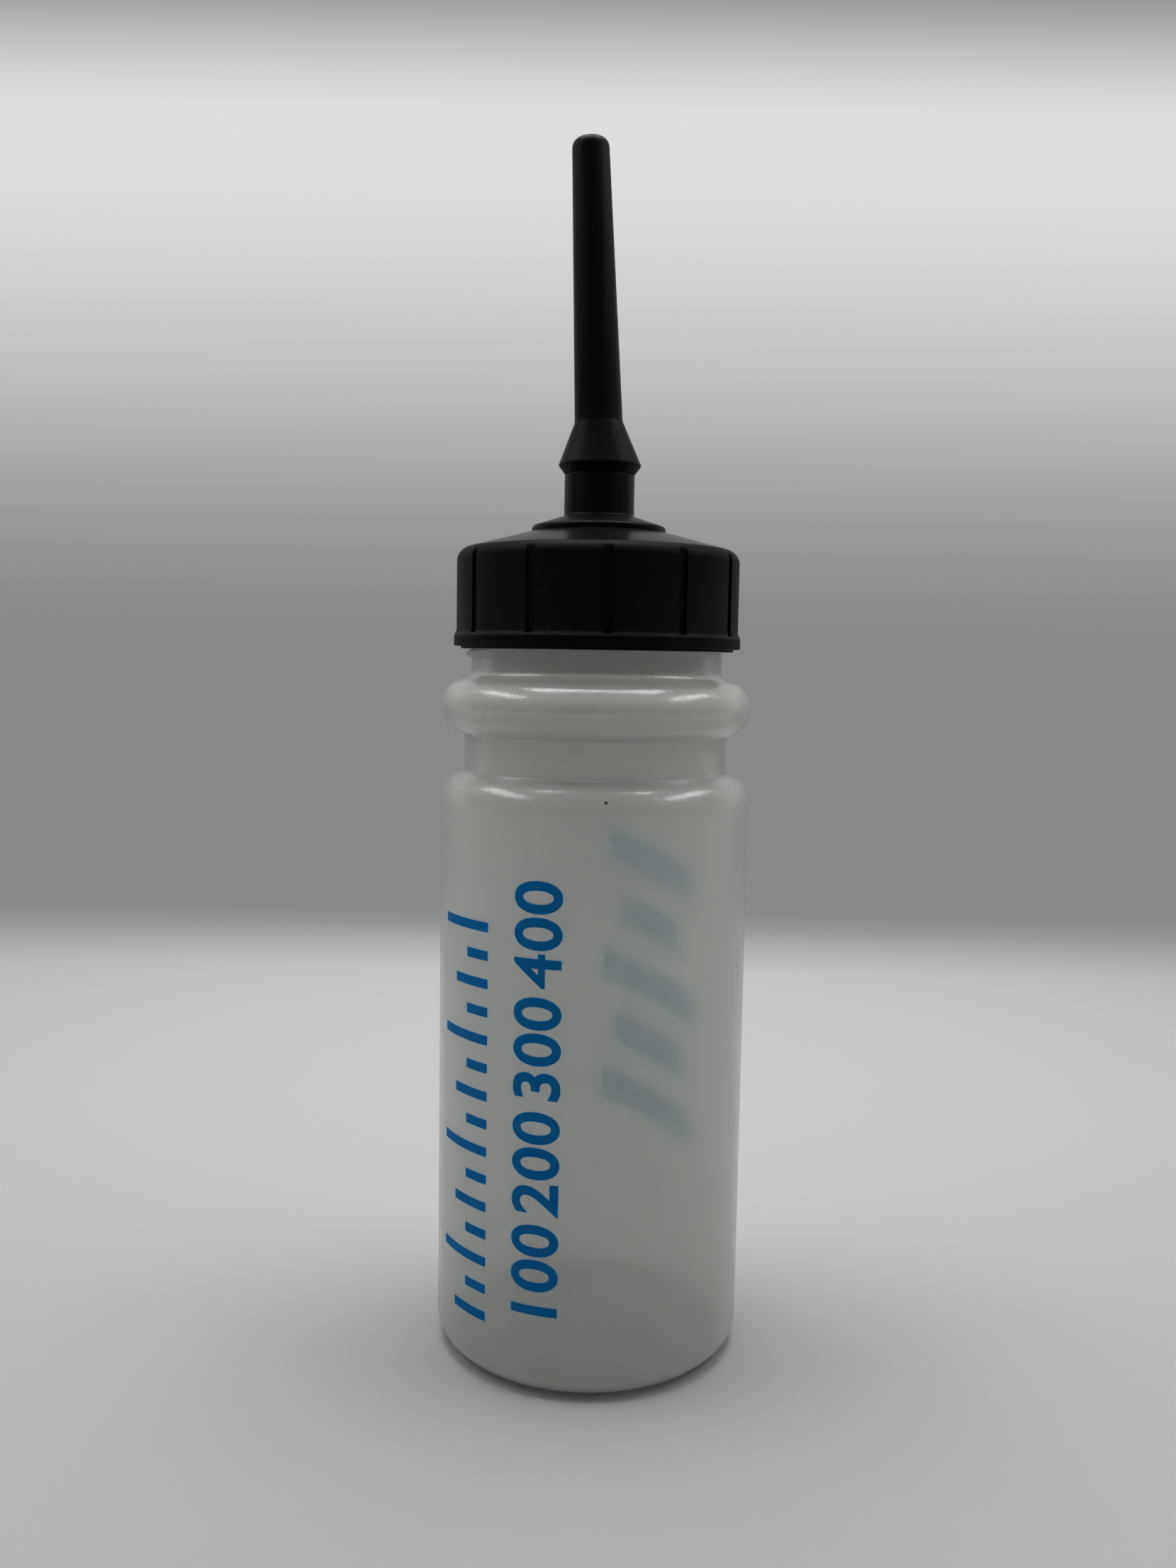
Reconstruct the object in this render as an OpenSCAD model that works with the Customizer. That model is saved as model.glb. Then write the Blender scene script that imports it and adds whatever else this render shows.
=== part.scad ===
// Squeeze bottle with a screw cap and a long straw spout that pulls up to open.
// Millimetres, +Z up. The origin is on the table, on the bottle's axis. The front faces -Y.

/* [Bottle body] */
// Outside diameter of the body, the size that a bicycle's bottle cage grips
body_d = 73; // [70:0.5:76]
// Height of the body, from the table to the top of its shoulder
body_h = 138; // [110:1:170]
// Thickness of the blown wall
wall = 1.2; // [0.8:0.1:1.6]
// Rounding at the foot of the body
foot_round = 6; // [4:0.5:9]
// Rounding of the shoulder
shoulder_round = 7; // [5.5:0.5:9]
// Width of the flat ring that the bottle stands on
stand_w = 2.5; // [1.5:0.5:5]
// Height of the hollow under the base
base_hollow = 4; // [2:0.5:7]

/* [Finger groove and grip ring] */
// Diameter of the finger groove
groove_d = 62; // [60:0.5:65]
// Height of the finger groove
groove_h = 8.4; // [5:0.2:14]
// Outside diameter of the grip ring
ring_d = 73; // [70:0.5:76]
// Height of the grip ring
ring_h = 13; // [9:0.5:16]
// Height of the straight band round the widest part of the grip ring
ring_band = 0.4; // [0.2:0.1:3]

/* [Neck and thread] */
// Outside diameter of the neck, at the foot of its thread
neck_d = 59; // [56:0.5:59.5]
// Thickness of the neck's wall
neck_wall = 1.6; // [1.2:0.1:2.2]
// Height of the neck above the grip ring
neck_h = 26.4; // [24:0.2:32]
// Rise of the thread in one turn
thread_lead = 4; // [3.6:0.1:5]
// Turns of thread on the neck
neck_turns = 3; // [2.5:0.25:4]
// Turns of thread in the cap
cap_turns = 1.5; // [1:0.25:2]
// Height of the thread's ridge
thread_depth = 1.3; // [0.9:0.1:1.5]
// Width of the ridge at its foot
thread_w = 2; // [1.6:0.1:2.2]
// Width of the ridge at its crest
thread_crest = 0.9; // [0.6:0.1:1.2]
// Height of the thread's lower end above the grip ring
thread_rise = 4.8; // [3.5:0.1:6]
// Direction of the thread's lower end, counter-clockwise from +X
thread_start = 110; // [0:5:355]

/* [Cap] */
// Thickness of the cap's skirt
cap_wall = 1.9; // [1.4:0.1:2.6]
// Thickness of the cap's top where it presses on the gasket
cap_roof = 2; // [1.6:0.1:3]
// Thickness of the cap's cone and of the plate round its hole
cone_wall = 2; // [1.4:0.1:2.4]
// Slope of the cap's cone
cone_slope = 15; // [8:1:22]
// Rounding between the cap's skirt and its cone
cap_round = 3.2; // [1.5:0.1:4]
// Gap between the grip ring and the cap's flange
cap_gap = 7.4; // [5:0.2:10]
// How far the flange stands out from the skirt
flange_out = 0.6; // [0.3:0.1:1.5]
// Height of the flange's straight edge
flange_h = 2.4; // [1.5:0.1:4]
// Height of the slope from the flange to the skirt
flange_slope = 1.4; // [0.6:0.1:2.5]
// How far the thin lip inside the flange reaches below it
lip_h = 0.6; // [0.3:0.1:1.2]
// Thickness of that lip
lip_t = 0.9; // [0.6:0.1:1.6]
// Number of grip slots in the skirt
slots = 12; // [6:1:24]
// Width of a grip slot
slot_w = 2.1; // [1:0.1:4]
// Depth of a grip slot
slot_depth = 0.6; // [0.3:0.1:1]
// Direction of the first grip slot, counter-clockwise from +X
slot_turn = 3.6; // [0:0.1:30]

/* [Gasket] */
// Thickness of the gasket
gasket_t = 1.6; // [1:0.1:2.5]
// How far the gasket reaches inside the neck's bore
gasket_in = 0.9; // [0.3:0.1:2]

/* [Spout base] */
// Diameter of the hole in the cap
hole_d = 22; // [20:0.5:26]
// Diameter of the disc that lies on the cap
disc_d = 31.4; // [29:0.2:34]
// Height of the disc's straight edge
disc_edge = 0.7; // [0.4:0.1:1.5]
// Rounding of the disc's upper edge
disc_round = 0.8; // [0.4:0.1:1.2]
// Height of the disc where the tube stands on it
disc_h = 3.7; // [2.8:0.1:5]
// Outside diameter of the tube
tube_d = 16.4; // [15.6:0.1:17.4]
// Height of the tube's top above the cap
tube_h = 13.4; // [11.5:0.1:17]
// Height of the inward lip at the tube's top
tube_lip = 1.6; // [0.8:0.1:2.2]
// Height of the snap bead below the cap's plate
snap_h = 1.2; // [0.8:0.1:2]
// How far the snap bead reaches under the plate
snap_out = 0.6; // [0.3:0.1:1]
// Number of spokes that hold the stopper
spokes = 3; // [2:1:5]
// Width of a spoke
spoke_w = 1.6; // [1:0.1:2.5]
// Thickness of a spoke
spoke_t = 2; // [1.2:0.1:3]
// Diameter of the stopper's shaft
shaft_d = 4; // [3:0.1:5]

/* [Straw spout] */
// Diameter of the stem that slides in the tube
stem_d = 12.4; // [11.6:0.1:12.6]
// Bore of the stem
stem_bore = 7; // [5.6:0.1:7.4]
// How far the retaining bead and the tube's wall stand out from the stem
bead_out = 0.3; // [0.2:0.05:0.4]
// Height of the retaining bead
bead_h = 1.2; // [0.8:0.1:1.6]
// Thickness of the O-ring
seal_t = 1.6; // [1.2:0.1:1.8]
// Length of plain stem below the O-ring's groove, and between the groove and the bead
land_h = 1; // [0.6:0.1:1.4]
// Gap between the stem's end and the spokes when the spout is shut
stem_rest = 1; // [0.5:0.1:2]
// Way that opens over the stopper when the spout is pulled up
open_gap = 1.8; // [1:0.1:2.4]
// Diameter of the collar's lip
collar_d = 19.2; // [18:0.1:22]
// Height of the slope under the collar's lip
collar_under = 2.1; // [1:0.1:3]
// Height of the collar's cone above its lip
collar_h = 9.7; // [6:0.1:14]
// Diameter of the straw where it leaves the collar
straw_d = 11.2; // [9.6:0.1:12.4]
// Diameter of the straw below its rounded tip
tip_d = 8.6; // [8.2:0.1:9.4]
// Length of the straw above the collar
straw_len = 64; // [40:0.5:90]
// Rounding of the tip
tip_round = 2.4; // [1:0.1:2.6]
// Bore of the straw
straw_bore = 6.2; // [4.6:0.1:6.4]
// Diameter of the outlet in the tip
outlet_d = 3; // [2:0.1:3.4]
// Length of the outlet
outlet_len = 4; // [2:0.1:6]
// Lean of the straw towards -X
straw_lean = 3; // [0:0.5:5]

/* [Clearances] */
// Gap between flat faces that seat on each other across a joint
seat_gap = 0.05; // [0.02:0.01:0.2]
// Radial gap of the sliding stem
slide_gap = 0.1; // [0.05:0.01:0.15]
// Gap round the O-ring, round the stopper and round the snapped-in base
seal_gap = 0.05; // [0.02:0.01:0.1]
// Gap between the thread's crest and the cap's wall
crest_gap = 0.4; // [0.3:0.05:0.8]
// Play between the loaded flanks of the two threads
thread_play = 0.2; // [0.15:0.05:0.4]
// Gap round the gasket's outer edge
gasket_gap = 0.3; // [0.2:0.05:0.5]

/* [Hidden] */
$fn = 128;

// Radii
body_r = body_d / 2;
groove_r = groove_d / 2;
neck_r = neck_d / 2;
bore_r = neck_r - neck_wall;
cap_in_r = neck_r + thread_depth + crest_gap;
cap_r = cap_in_r + cap_wall;
gasket_r = cap_in_r - gasket_gap;
gasket_in_r = bore_r - gasket_in;
hole_r = hole_d / 2;
disc_r = disc_d / 2;
tube_r = tube_d / 2;
stem_r = stem_d / 2;
bead_r = stem_r + bead_out;
tube_bore_r = bead_r + slide_gap;
stem_bore_r = stem_bore / 2;
collar_r = collar_d / 2;

// Heights
ring_z = body_h + groove_h;
ring_top = ring_z + ring_h;
rim_z = ring_top + neck_h;
cap_z = ring_top + cap_gap;
flange_top = cap_z + flange_h;
gasket_z = rim_z + seat_gap;
roof_z = gasket_z + gasket_t + seat_gap;
plate_z = cone_z(disc_r);
tube_top = plate_z + tube_h;
tube_lip_z = tube_top - tube_lip;
snap_z = plate_z - cone_wall - snap_h;
stem_z = snap_z + spoke_t + stem_rest;
seal_groove = seal_t + 2 * seal_gap;
seal_z = stem_z + land_h + seal_groove / 2;
bead_z = seal_z + seal_groove / 2 + land_h;
collar_z = tube_top + seat_gap;
collar_lip_z = collar_z + collar_under;
straw_z = collar_lip_z + collar_h;

// Travel of the spout, from shut until its bead is a seat's gap below the tube's lip
pull = tube_lip_z - seat_gap - bead_z - bead_h;
stopper_top = stem_z + pull - open_gap;

// Half-round edges of the grip ring
ring_round = (ring_h - ring_band) / 2;

// Dome under the base, from the height of its middle and the inside of the standing ring
dome_edge = body_r - foot_round - stand_w;
dome_r = (dome_edge * dome_edge + base_hollow * base_hollow) / (2 * base_hollow);

// Thread: how fast a flank narrows, how deep its foot is sunk, and how far the cap's ridge lies below the neck's
thread_flank = (thread_w - thread_crest) / 2 / thread_depth;
thread_sink = 0.4;
thread_fade = 0.15;
thread_steps = 48;
fade_turns = 0.12;
cap_drop = thread_w - thread_flank * (thread_depth + crest_gap) + thread_play;
neck_thread_z = ring_top + thread_rise;
cap_thread_z = cap_z + thread_w;
cap_start_turns = (cap_thread_z + cap_drop - neck_thread_z) / thread_lead;

// Small overlap that joins the pieces of one solid
join = 0.5;

// Height of the cap's outer cone at a radius
function cone_z(r) = roof_z + cap_roof + (cap_in_r - r) * tan(cone_slope);

// Half outline of a drum from z0 to z1 with rounded outer corners, shrunk on all sides by inset
module drum_outline(r, z0, z1, round_low, round_high, inset) {
  polygon([
    [0, z0 + inset],
    [r - round_low, z0 + inset],
    [r - inset, z0 + round_low],
    [r - inset, z1 - round_high],
    [r - round_high, z1 - inset],
    [0, z1 - inset]
  ]);
  translate([r - round_low, z0 + round_low]) circle(r = round_low - inset);
  translate([r - round_high, z1 - round_high]) circle(r = round_high - inset);
}

// Half outline of a round column from z0 to z1
module column_outline(r, z0, z1) {
  translate([0, z0]) square([r, z1 - z0]);
}

// Half outline of the whole bottle, shrunk by inset, and its neck by neck_inset
module bottle_outline(inset, neck_inset, top) {
  drum_outline(body_r, 0, body_h, foot_round, shoulder_round, inset);
  drum_outline(ring_d / 2, ring_z, ring_top, ring_round, ring_round, inset);
  column_outline(groove_r - inset, body_h / 2, ring_z + ring_h / 2);
  column_outline(neck_r - neck_inset, ring_z + ring_h / 2, top);
}

// Round cut of the hollow under the base, grown by the wall for the floor inside
module base_dome(grow) {
  translate([0, base_hollow - dome_r]) circle(r = dome_r + grow, $fn = 360);
}

// Half width of the thread's ridge at a height above its root
function ridge_half(h) = thread_w / 2 - thread_flank * h;

// One section of a ridge at angle a: way is 1 on the neck and -1 in the cap
function ridge_section(root_r, way, a, z, height) =
  let (
    corners = [
      [-thread_sink, -ridge_half(-thread_sink)],
      [height, -ridge_half(height)],
      [height, ridge_half(height)],
      [-thread_sink, ridge_half(-thread_sink)]
    ],
    order = way > 0 ? [0, 1, 2, 3] : [3, 2, 1, 0]
  )
  [for (k = order) let (r = root_r + way * corners[k][0]) [r * cos(a), r * sin(a), z + corners[k][1]]];

// Helical ridge that rises out of its wall at both ends
module thread_ridge(root_r, way, start_a, start_z, turns) {
  steps = round(turns * thread_steps);
  fade_steps = fade_turns * thread_steps;
  points = [
    for (i = [0 : steps])
      let (full = min(1, i / fade_steps, (steps - i) / fade_steps))
      each ridge_section(
        root_r, way, start_a + 360 * i / thread_steps, start_z + thread_lead * i / thread_steps,
        full * (thread_depth + thread_fade) - thread_fade
      )
  ];
  sides = [
    for (i = [0 : steps - 1], k = [0 : 3])
      let (a = 4 * i + k, b = 4 * i + (k + 1) % 4)
      each [[a, b, b + 4], [a, b + 4, a + 4]]
  ];
  ends = [[0, 3, 2, 1], [for (k = [0 : 3]) 4 * steps + k]];
  polyhedron(points, concat(sides, ends), convexity = 8);
}

// Blown bottle: an even wall, a hollowed base and a threaded neck
module bottle_body() {
  color("#dde3e0") {
    rotate_extrude() difference() {
      bottle_outline(0, 0, rim_z);
      base_dome(0);
      difference() {
        bottle_outline(wall, neck_wall, rim_z + join);
        base_dome(wall);
      }
    }
    thread_ridge(neck_r, 1, thread_start, neck_thread_z, neck_turns);
  }
}

// Outer half outline of the cap: lip, flange, skirt, rounded corner and cone
module cap_outline() {
  round_r = cap_r - cap_round;
  round_z = cone_z(round_r) - cap_round / cos(cone_slope);
  polygon([
    [0, cap_z - lip_h],
    [cap_in_r + lip_t, cap_z - lip_h],
    [cap_in_r + lip_t, cap_z],
    [cap_r + flange_out, cap_z],
    [cap_r + flange_out, flange_top],
    [cap_r, flange_top + flange_slope],
    [cap_r, round_z],
    [round_r + cap_round * sin(cone_slope), round_z + cap_round * cos(cone_slope)],
    [disc_r, plate_z],
    [0, plate_z]
  ]);
  translate([round_r, round_z]) circle(r = cap_round);
}

// Space inside the cap, with the flat seat for the gasket and the underside of the cone
module cap_space() {
  seat_r = gasket_in_r - gasket_gap;
  polygon([
    [0, cap_z - lip_h - join],
    [cap_in_r, cap_z - lip_h - join],
    [cap_in_r, roof_z],
    [seat_r, roof_z],
    [seat_r, cone_z(seat_r) - cone_wall],
    [disc_r, plate_z - cone_wall],
    [0, plate_z - cone_wall]
  ]);
}

// Screw cap: a slotted skirt, a cone with a hole for the spout, a thread, and a bead that keeps the gasket in
module screw_cap() {
  bead = 2 * gasket_gap;
  color("#1b1c1e") {
    difference() {
      rotate_extrude() {
        difference() {
          cap_outline();
          cap_space();
          column_outline(hole_r, plate_z - cone_wall - join, plate_z + join);
        }
        translate([cap_in_r, gasket_z - bead - seat_gap]) circle(r = bead, $fn = 48);
      }
      for (i = [0 : slots - 1])
        rotate(slot_turn + 360 * i / slots)
          translate([cap_r - slot_depth, -slot_w / 2, flange_top + flange_slope])
            cube([slot_depth + flange_out, slot_w, plate_z - flange_top]);
    }
    thread_ridge(cap_in_r, -1, thread_start + 360 * cap_start_turns, cap_thread_z, cap_turns);
  }
}

// Soft flat ring between the bottle's rim and the cap
module cap_gasket() {
  color("#d7d8d4") translate([0, 0, gasket_z]) difference() {
    cylinder(r = gasket_r, h = gasket_t);
    translate([0, 0, -join]) cylinder(r = gasket_in_r, h = gasket_t + 2 * join);
  }
}

// Outer half outline of the spout's base: snap bead, collar, disc with a rounded edge, and tube
module spout_base_outline() {
  collar_r = hole_r - seal_gap;
  disc_top = plate_z + disc_edge + disc_round;
  polygon([
    [0, snap_z],
    [collar_r, snap_z],
    [collar_r + snap_out, plate_z - cone_wall - seal_gap],
    [collar_r, plate_z - cone_wall - seal_gap],
    [collar_r, plate_z],
    [disc_r, plate_z],
    [disc_r, plate_z + disc_edge],
    [disc_r - disc_round, disc_top],
    [tube_r, plate_z + disc_h],
    [tube_r, tube_top],
    [0, tube_top]
  ]);
  translate([0, plate_z + disc_edge]) intersection() {
    translate([disc_r - disc_round, 0]) circle(r = disc_round, $fn = 48);
    square([disc_r, disc_round]);
  }
}

// Base of the spout: a disc and tube that snap into the cap, with a stopper on spokes inside the tube
module spout_base() {
  head_r = stem_bore_r - seal_gap;
  head_z = stem_z + land_h;
  color("#202123") {
    rotate_extrude() difference() {
      spout_base_outline();
      column_outline(tube_bore_r, snap_z - join, tube_lip_z);
      column_outline(stem_r + slide_gap, tube_lip_z - join, tube_top + join);
    }
    for (i = [0 : spokes - 1])
      rotate(90 + 360 * i / spokes)
        translate([0, -spoke_w / 2, snap_z])
          cube([tube_bore_r + join, spoke_w, spoke_t]);
    translate([0, 0, snap_z]) cylinder(d = shaft_d, h = head_z - snap_z + join);
    translate([0, 0, head_z]) cylinder(r = head_r, h = stopper_top - head_z);
  }
}

// O-ring in the stem's groove
module spout_seal() {
  color("#2b2c2e") rotate_extrude()
    translate([tube_bore_r - seal_gap - seal_t / 2, seal_z]) circle(d = seal_t, $fn = 48);
}

// Half outline of the stem and the collar
module stem_outline() {
  groove_floor = tube_bore_r - 2 * seal_gap - seal_t;
  lip_round = collar_under / 4;
  polygon([
    [0, stem_z],
    [stem_r, stem_z],
    [stem_r, seal_z - seal_groove / 2],
    [groove_floor, seal_z - seal_groove / 2],
    [groove_floor, seal_z + seal_groove / 2],
    [stem_r, seal_z + seal_groove / 2],
    [stem_r, bead_z],
    [bead_r, bead_z],
    [bead_r, bead_z + bead_h],
    [stem_r, bead_z + bead_h],
    [stem_r, collar_z],
    [tube_r, collar_z],
    [collar_r, collar_lip_z],
    [straw_d / 2 + slide_gap, straw_z],
    [0, straw_z]
  ]);
  translate([collar_r - lip_round, collar_lip_z]) circle(r = lip_round, $fn = 48);
}

// Half outline of the tapered straw above its root
module straw_outline() {
  tip_r = tip_d / 2;
  polygon([
    [0, -collar_h / 2],
    [straw_d / 2, -collar_h / 2],
    [straw_d / 2, 0],
    [tip_r, straw_len - tip_round],
    [tip_r - tip_round, straw_len],
    [0, straw_len]
  ]);
  intersection() {
    translate([tip_r - tip_round, straw_len - tip_round]) circle(r = tip_round, $fn = 64);
    translate([0, straw_len - tip_round]) square([tip_r, tip_round]);
  }
}

// Straw, collar and sliding stem in one piece, with a bore from the stem's end to the outlet in the tip
module straw_spout() {
  bore_top = straw_len - outlet_len;
  bend = collar_h / 2;
  color("#232426") difference() {
    union() {
      rotate_extrude() stem_outline();
      translate([0, 0, straw_z]) rotate([0, -straw_lean, 0]) rotate_extrude() straw_outline();
    }
    translate([0, 0, stem_z - join]) cylinder(r = stem_bore_r, h = straw_z - bend - stem_z + join);
    translate([0, 0, straw_z]) rotate([0, -straw_lean, 0]) {
      translate([0, 0, -bend - join]) cylinder(d = straw_bore, h = bore_top + bend + join);
      cylinder(d = outlet_d, h = straw_len + join);
    }
  }
}

bottle_body();
screw_cap();
cap_gasket();
spout_base();
spout_seal();
straw_spout();
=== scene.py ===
"""Squeeze bottle with a screw cap and a straw spout: modelled pieces and finishes round the packed frame."""
import math
from functools import partial

import bmesh
import bpy
from mathutils import Matrix, Vector
from mathutils.bvhtree import BVHTree


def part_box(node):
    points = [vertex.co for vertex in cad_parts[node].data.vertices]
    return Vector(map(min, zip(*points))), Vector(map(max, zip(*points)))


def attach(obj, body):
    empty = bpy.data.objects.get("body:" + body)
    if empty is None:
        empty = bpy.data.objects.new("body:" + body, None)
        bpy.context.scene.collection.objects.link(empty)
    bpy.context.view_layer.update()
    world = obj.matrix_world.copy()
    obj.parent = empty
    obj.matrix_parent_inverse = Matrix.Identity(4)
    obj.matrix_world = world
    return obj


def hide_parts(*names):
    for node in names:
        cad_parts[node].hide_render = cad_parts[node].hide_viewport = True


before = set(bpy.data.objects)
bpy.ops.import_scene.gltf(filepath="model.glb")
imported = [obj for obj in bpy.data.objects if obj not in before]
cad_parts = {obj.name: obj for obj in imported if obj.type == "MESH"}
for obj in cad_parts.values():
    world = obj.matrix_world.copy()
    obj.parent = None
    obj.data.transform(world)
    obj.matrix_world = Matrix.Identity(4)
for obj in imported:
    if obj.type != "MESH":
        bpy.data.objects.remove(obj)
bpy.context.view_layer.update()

bl_info = {
    "name": "Squeeze Bottle",
    "version": (1, 0, 0),
    "blender": (4, 5, 0),
    "location": "3D View > Sidebar > Squeeze Bottle",
    "description": "Models a squeeze bottle with a screw cap and a straw spout round its packed frame",
    "category": "Add Mesh",
}

MM = 0.001
FULL_TURN = 2 * math.pi
# Vertices closer than MERGE become one, and a place counts as met within NEAR.
MERGE = 0.002 * MM
NEAR = 0.01 * MM
# Edges that turn by more than this stay sharp.
SHARP = math.radians(40)
# Steps of a full turn: for the bottle and gasket, the spout's base, the straw and O-ring, and the stopper.
WIDE_STEPS, BASE_STEPS, SLIM_STEPS, STOPPER_STEPS = 192, 128, 96, 48
# Gap between faces that seat on each other, in millimetres.
SEAT_GAP = 0.05
# Lengths of the bars on the back, from the lowest up, in millimetres.
BAR_LENGTHS = (27, 20, 27, 16, 24)
# Attribute of the bottle's inner wall that says where the bars lie on its outside, where their shadow is
# painted.
INK_SHADE = "ink_shade"

BODY_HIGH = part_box("bottle_body")[1]
CAP_LOW, CAP_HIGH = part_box("screw_cap")
GASKET_LOW, GASKET_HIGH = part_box("cap_gasket")
BASE_LOW, BASE_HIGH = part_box("spout_base")
SEAL_LOW, SEAL_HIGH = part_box("spout_seal")
STRAW_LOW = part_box("straw_spout")[0]


def to_linear(code):
    """Linear red, green and blue of an sRGB hex colour."""
    parts = [int(code[i:i + 2], 16) / 255 for i in (1, 3, 5)]
    return tuple(c / 12.92 if c <= 0.04045 else ((c + 0.055) / 1.055) ** 2.4 for c in parts)


def length(name, description, mm):
    """A size that a user may change, written in millimetres and kept in metres."""
    return bpy.props.FloatProperty(
        name=name, description=description, default=mm * MM, precision=5, unit="LENGTH"
    )


def turn(name, description, degrees):
    """An angle that a user may change, written in degrees."""
    return bpy.props.FloatProperty(
        name=name, description=description, default=math.radians(degrees), subtype="ANGLE"
    )


def amount(name, description, value, unit="NONE"):
    """A number that a user may change, with a unit where one fits."""
    return bpy.props.FloatProperty(name=name, description=description, default=value, unit=unit)


def tint(name, description, code):
    """A colour that a user may change, written as an sRGB hex value."""
    return bpy.props.FloatVectorProperty(
        name=name, description=description, default=to_linear(code), size=3, min=0.0, max=1.0, subtype="COLOR"
    )


class BottleSizes(bpy.types.PropertyGroup):
    """Sizes of the blown bottle."""

    body_r: length("Body radius", "Outside radius of the body", BODY_HIGH.x / MM)
    rim_z: length("Rim height", "Height of the neck's rim", BODY_HIGH.z / MM)
    body_h: length("Body height", "Height of the shoulder's top", 138)
    wall: length("Wall", "Thickness of the blown wall", 1.2)
    foot_round: length("Foot rounding", "Rounding at the foot of the body", 6)
    shoulder_round: length("Shoulder rounding", "Rounding of the shoulder", 7)
    stand_w: length("Standing ring", "Width of the ring that the bottle stands on", 2.5)
    base_hollow: length("Base hollow", "Height of the hollow under the base", 4)
    groove_r: length("Groove radius", "Radius of the finger groove", 31)
    groove_h: length("Groove height", "Height of the finger groove", 8.4)
    ring_h: length("Grip ring height", "Height of the grip ring", 13)
    ring_round: length("Grip ring rounding", "Rounding of the grip ring's edges", 6.3)
    neck_r: length("Neck radius", "Outside radius of the neck", 29.5)
    neck_wall: length("Neck wall", "Thickness of the neck's wall", 1.6)
    neck_fillet: length("Neck fillet", "Rounding where the neck leaves the grip ring", 2.5)

    @property
    def ring_z(self):
        """Height of the grip ring's foot."""
        return self.body_h + self.groove_h

    @property
    def ring_top(self):
        """Height of the grip ring's top."""
        return self.ring_z + self.ring_h

    @property
    def bore_r(self):
        """Inside radius of the neck."""
        return self.neck_r - self.neck_wall


class ThreadSizes(bpy.types.PropertyGroup):
    """Sizes of the thread on the neck and in the cap."""

    lead: length("Lead", "Rise of the thread in one turn", 4)
    depth: length("Depth", "Height of the thread's ridge", 1.3)
    foot_w: length("Foot width", "Width of the ridge at its foot", 2)
    crest_w: length("Crest width", "Width of the ridge at its crest", 0.9)
    rise: length("Rise", "Height of the thread's lower end above the grip ring", 4.8)
    drop: length("Drop", "How far the cap's ridge lies below the neck's", 1.481)
    start: turn("Start", "Direction of the thread's lower end, counter-clockwise from +X", 110)
    neck_turns: amount("Neck turns", "Turns of thread on the neck", 3.0)
    cap_turns: amount("Cap turns", "Turns of thread in the cap", 1.5)


class CapSizes(bpy.types.PropertyGroup):
    """Sizes of the screw cap and its gasket."""

    flange_r: length("Flange radius", "Outside radius of the flange", CAP_HIGH.x / MM)
    lip_z: length("Lip height", "Height of the thin lip under the flange", CAP_LOW.z / MM)
    plate_z: length("Plate height", "Height of the flat round the spout's hole", CAP_HIGH.z / MM)
    roof_z: length("Roof height", "Height of the face on the gasket", GASKET_HIGH.z / MM + SEAT_GAP)
    lip_h: length("Lip depth", "How far the thin lip reaches below the flange", 0.6)
    lip_t: length("Lip thickness", "Thickness of the thin lip", 0.9)
    flange_out: length("Flange step", "How far the flange stands out from the skirt", 0.6)
    flange_h: length("Flange edge", "Height of the flange's straight edge", 2.4)
    flange_slope: length("Flange slope", "Height of the slope from the flange to the skirt", 1.4)
    # The band on the flange's slope is a painted highlight: a lighter grey where light from above would catch
    # the slope.
    sheen_h: length("Rubbed edge", "Height of the rubbed part of the flange's slope", 0.85)
    wall: length("Wall", "Thickness of the skirt", 1.9)
    cone_wall: length("Cone wall", "Thickness of the cone", 2)
    cone_slope: turn("Cone slope", "Slope of the cone", 15)
    corner: length("Corner", "Rounding between the skirt and the cone", 3.2)
    hole_r: length("Hole radius", "Radius of the hole for the spout", 11)
    bead: length("Bead", "Height of the bead that keeps the gasket in", 0.6)
    gasket_w: length("Gasket width", "Width of the flat gasket", 3.9)
    slots: bpy.props.IntProperty(name="Slots", description="Number of grip slots", default=12, min=3)
    slot_w: length("Slot width", "Width of a grip slot", 2.1)
    slot_depth: length("Slot depth", "Depth of a grip slot", 0.6)
    slot_dip: length("Slot foot", "How far a grip slot runs down into the flange's slope", 0.9)
    slot_turn: turn("Slot direction", "Direction of the first grip slot, counter-clockwise from +X", 3.6)

    @property
    def skirt_r(self):
        """Outside radius of the skirt."""
        return self.flange_r - self.flange_out

    @property
    def in_r(self):
        """Inside radius of the skirt."""
        return self.skirt_r - self.wall

    @property
    def flange_z(self):
        """Height of the flange's underside."""
        return self.lip_z + self.lip_h

    @property
    def flange_top(self):
        """Height of the top of the flange's straight edge."""
        return self.flange_z + self.flange_h

    @property
    def skirt_z(self):
        """Height of the skirt's foot, above the flange's slope."""
        return self.flange_top + self.flange_slope


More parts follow.
